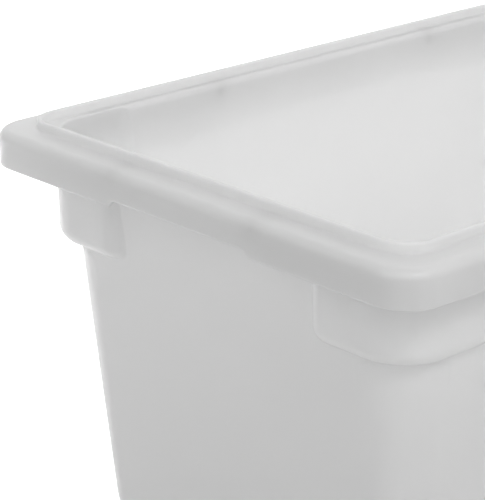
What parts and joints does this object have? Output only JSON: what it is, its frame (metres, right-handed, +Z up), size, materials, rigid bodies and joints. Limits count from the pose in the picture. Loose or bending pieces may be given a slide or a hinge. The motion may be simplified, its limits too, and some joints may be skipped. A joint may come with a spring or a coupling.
{
  "type": "food storage container",
  "caption": "Open rectangular food storage tub with drafted walls, stepped corner bosses, a raised lip that locates a lid, and a skirted rim cut away at its hand holds.",
  "frame": {"origin": "on the surface that the tub stands on, under the middle of its rim", "axes": "+X along the long sides, +Y along the short sides, +Z up out of the open top"},
  "size_m": [0.4572, 0.3048, 0.2286],
  "materials": {
    "tub": "natural white plastic, satin, lets a little light through"
  },
  "bodies": {
    "root": {"tub": "tub"}
  },
  "joints": []
}
